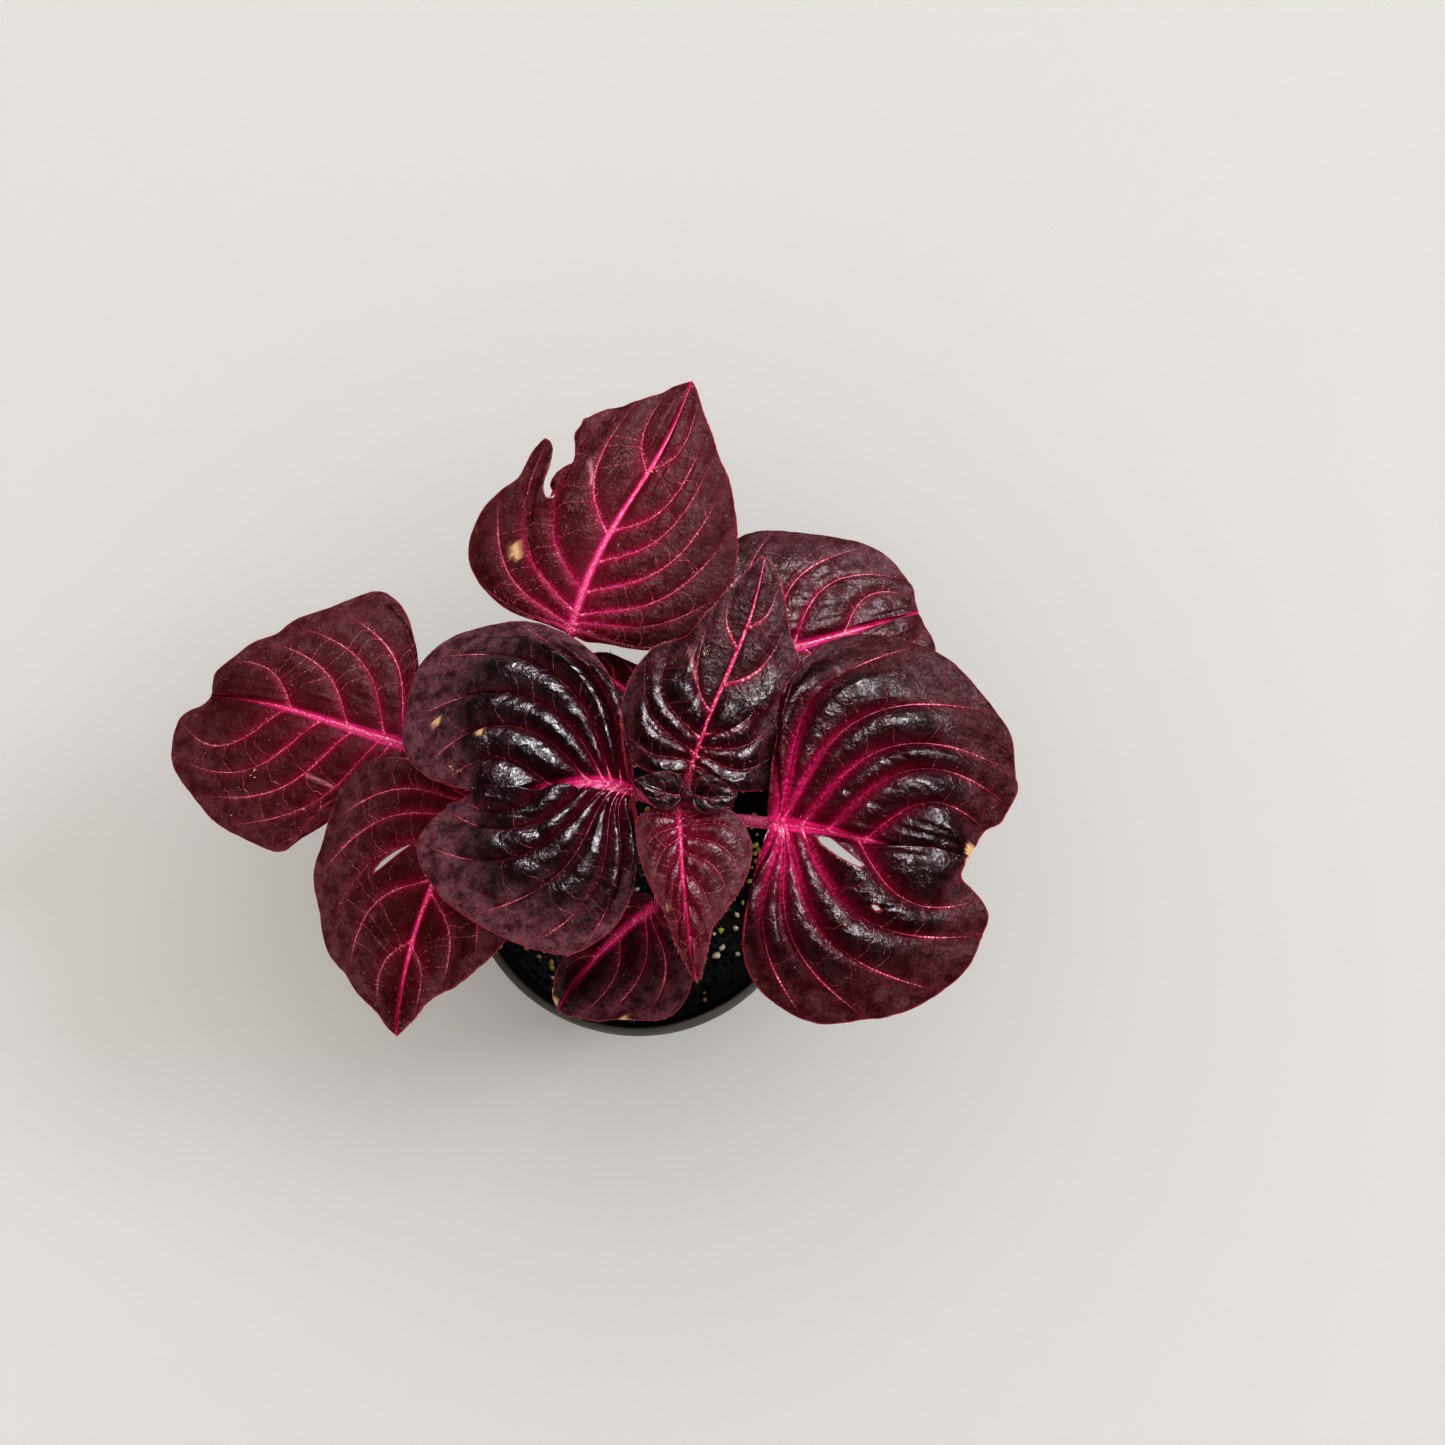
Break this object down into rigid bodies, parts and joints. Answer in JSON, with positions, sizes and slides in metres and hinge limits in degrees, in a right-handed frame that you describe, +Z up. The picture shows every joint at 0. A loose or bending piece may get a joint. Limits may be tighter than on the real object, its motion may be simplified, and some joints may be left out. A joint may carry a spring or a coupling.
{
  "type": "potted foliage plant",
  "caption": "Small round nursery pot with a leafy plant: broad notched and pointed dark-red leaves, puckered between bright pink veins, on short upright stems.",
  "frame": {"origin": "middle of the pot's flat foot", "axes": "+Z up through the pot's middle, +X to the right and +Y to the back as seen from the front"},
  "size_m": [0.1753, 0.1365, 0.1259],
  "materials": {
    "pot": "moulded black plastic, slightly shiny, scuffed at the rim",
    "soil": "dark crumbly potting mix with pale grains",
    "stem": "smooth juicy stem, magenta red",
    "leaf": "glossy puckered blade, dark burgundy with bright pink veins",
    "young_leaf": "glossy, finely hairy, reddish purple"
  },
  "bodies": {
    "root": {"pot": "pot", "soil": "soil", "stem_main": "stem", "stem_left": "stem", "stem_back": "stem", "leaf_back_left": "leaf", "leaf_far_left": "leaf", "leaf_front_left": "leaf", "leaf_centre_left": "leaf", "leaf_back_centre": "leaf", "leaf_back_right": "leaf", "leaf_right": "leaf", "leaf_front_centre": "leaf", "leaf_low_front": "leaf", "leaf_low_back": "leaf", "leaf_low_left": "leaf", "leaf_hidden_back": "leaf", "shoot_tip": "young_leaf"}
  },
  "joints": []
}
